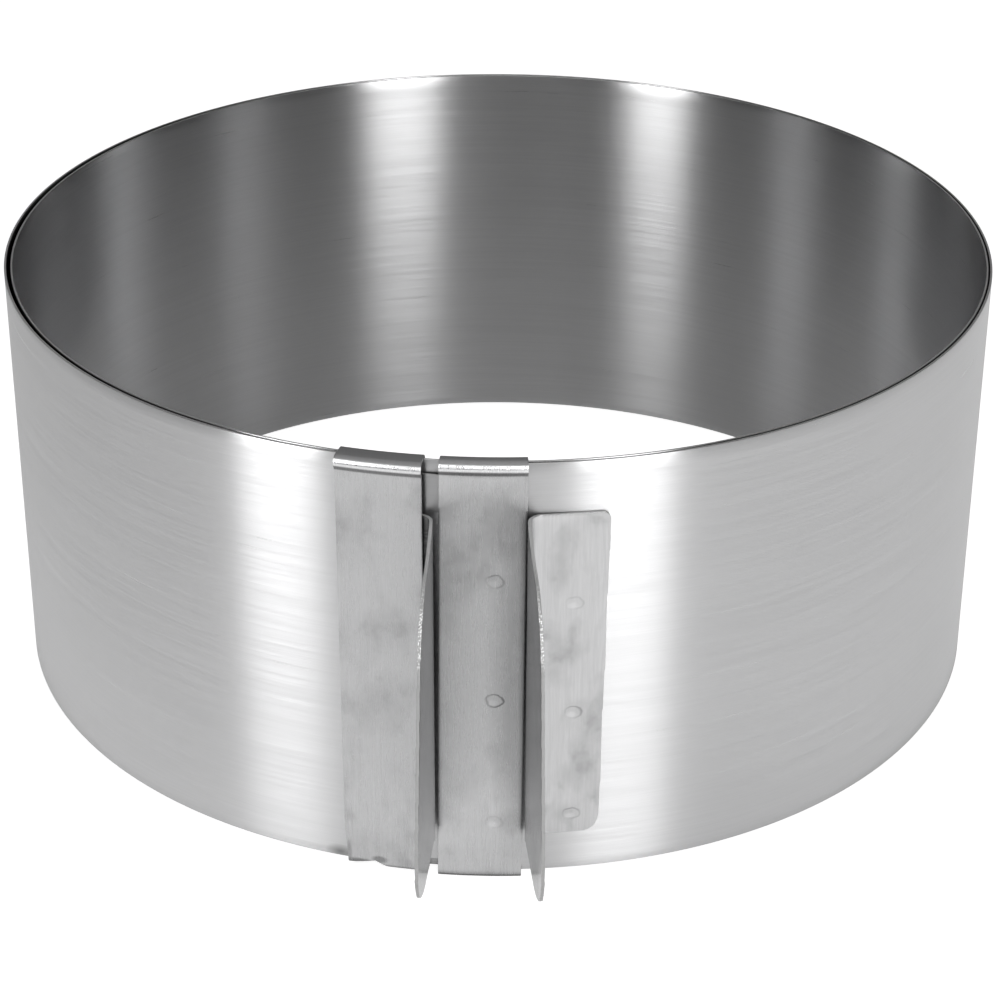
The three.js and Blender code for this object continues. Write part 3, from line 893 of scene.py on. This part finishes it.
class RING_OT_straps(Operator):
    """Makes the two folded straps"""

    bl_idname = "cake_ring.straps"
    bl_label = "Straps"

    def execute(self, context):
        scene = context.scene
        strip, strap, finishes = scene.cake_ring_strip, scene.cake_ring_strap, scene.cake_ring_finishes
        leg = strap.right_leg
        weld_place = strap.right_middle + 0.15 * strap.width / leg
        outer = leg + strap.thickness
        height = BAND_TOP - BAND_BOTTOM
        welds = [wall_point(outer, weld_place, BAND_BOTTOM + s * height) for s in STRAP_WELDS]
        # how dark each weld's print and its painted shade are, and how much of its ring shows
        prints = ((0.4, 0.3), (1.3, 0.8), (0.8, 0.1))
        # painted shade on the right strap's right side and upper right, and a darker patch low down
        stains_and_shade = [
            stain_and_shade_at(outer, place, height_mm, wide, tall, finishes.stain_and_shade * strength)
            for place, height_mm, wide, tall, strength in (
                (2.9, 60.5, 4.6, 6.5, 1),
                (4.8, 36, 5.5, 34, 1.2),
                (3.6, 10.5, 3, 3, 0.8),
            )
        ]
        # painted light: the right strap gets the straps' steel 8% lighter than the left strap does
        steel = upright_steel(
            "right_strap_steel", times(finishes.strap, 1.08), 0.24, folded=True, stains_and_shade=stains_and_shade,
            marks=[(weld, strap.dent, *seen) for weld, seen in zip(welds, prints)],
        )
        piece = make_strap(
            "right_strap_steel", leg, strap.right_hem, strap.right_middle, strap.lean, 0.0,
            strap, strip, finishes, steel,
        )
        for weld in welds:
            falloff = "SPHERE" if weld == welds[1] else "SMOOTH"
            press_dent(piece, weld, -outward(place_of(weld)), strap.dent, strap.dent_depth, falloff)
        paint_cut_edges(piece, faces_sideways)
        hand_over(piece, "outer_end", "right_strap")

        # painted shade along the upper side of the notch in the left strap's hem, and a painted dark
        # reflection in an upright streak at its bent-in corner
        painted_notch_shade = [
            stain_and_shade_at(leg, place, height_mm, wide, tall, finishes.stain_and_shade * strength)
            for place, height_mm, wide, tall, strength in (
                (-12.9, 1.35, 2.6, 0.5, 2.5),
                (-10.9, 2.1, 1.3, 0.7, 2.2),
                (-14.3, 3.2, 0.45, 2.6, 1.4),
            )
        ]
        steel = upright_steel("left_strap_steel", finishes.strap, 0.24, folded=True, stains_and_shade=painted_notch_shade)
        piece = make_strap(
            "left_strap_steel", strap.left_leg, strap.left_hem, strap.left_middle, -strap.left_lean,
            strap.set_in, strap, strip, finishes, steel,
        )
        places = [math.radians(place) for place in (-16, -11.3, -9.4)]
        snip_hem(piece, places, (0.2 * MM, 1.75 * MM, 0.4 * MM))
        paint_cut_edges(piece, faces_sideways)
        hand_over(piece, "inner_end", "left_strap")
        return {"FINISHED"}


class RING_OT_handles(Operator):
    """Makes the two handles, each with a welded foot and an ear"""

    bl_idname = "cake_ring.handles"
    bl_label = "Handles"

    def execute(self, context):
        scene = context.scene
        strap, handle, finishes = scene.cake_ring_strap, scene.cake_ring_handle, scene.cake_ring_finishes
        bottom = BAND_BOTTOM + handle.rise
        outer = handle.right_foot + handle.thickness
        weld_place = handle.right_place + FOOT_WELDS * handle.foot / handle.right_foot
        welds = [wall_point(outer, weld_place, bottom + s * handle.height) for s in HANDLE_WELDS]
        steel = upright_steel(
            "right_handle_steel", finishes.handle, 0.13, 0.8,
            marks=[(weld, strap.dent, 0.8, 0.1) for weld in welds],
        )
        piece = make_handle(
            "right_handle_steel", handle.right_foot, handle.right_place, handle.right_lean, False,
            handle, finishes, steel,
        )
        for weld in welds:
            press_dent(piece, weld, -outward(place_of(weld)), strap.dent, strap.dent_depth)
        hand_over(piece, "outer_end", "right_handle")
        steel = upright_steel("left_handle_steel", finishes.handle, 0.13)
        piece = make_handle(
            "left_handle_steel", handle.left_foot, handle.left_place, handle.left_lean, True,
            handle, finishes, steel,
        )
        hand_over(piece, "inner_end", "left_handle")
        return {"FINISHED"}


class RING_PT_sidebar(Panel):
    """Lists the sizes, the finishes and the steps"""

    bl_idname = "RING_PT_sidebar"
    bl_label = "Cake ring"
    bl_space_type = "VIEW_3D"
    bl_region_type = "UI"
    bl_category = "Cake ring"

    def draw(self, context):
        for title, owner in (
            ("Strip", context.scene.cake_ring_strip),
            ("Straps", context.scene.cake_ring_strap),
            ("Handles", context.scene.cake_ring_handle),
            ("Finishes", context.scene.cake_ring_finishes),
            ("Stage", context.scene.cake_ring_stage),
        ):
            box = self.layout.box()
            box.label(text=title)
            for name in owner.__annotations__:
                box.prop(owner, name)
        for step in STEPS:
            self.layout.operator(step.bl_idname)


STEPS = (RING_OT_stage, RING_OT_turns, RING_OT_straps, RING_OT_handles)
GROUPS = {
    "cake_ring_strip": StripSizes,
    "cake_ring_strap": StrapSizes,
    "cake_ring_handle": HandleSizes,
    "cake_ring_finishes": Finishes,
    "cake_ring_stage": StageSettings,
}


def register():
    for group in GROUPS.values():
        bpy.utils.register_class(group)
    for name, group in GROUPS.items():
        setattr(bpy.types.Scene, name, PointerProperty(type=group))
    for kind in (*STEPS, RING_PT_sidebar):
        bpy.utils.register_class(kind)


def unregister():
    for kind in reversed((*STEPS, RING_PT_sidebar)):
        bpy.utils.unregister_class(kind)
    for name, group in reversed(GROUPS.items()):
        delattr(bpy.types.Scene, name)
        bpy.utils.unregister_class(group)


def main():
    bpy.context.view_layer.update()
    register()
    bpy.ops.cake_ring.stage()
    bpy.ops.cake_ring.turns()
    bpy.ops.cake_ring.straps()
    bpy.ops.cake_ring.handles()


if __name__ == "__main__":
    main()
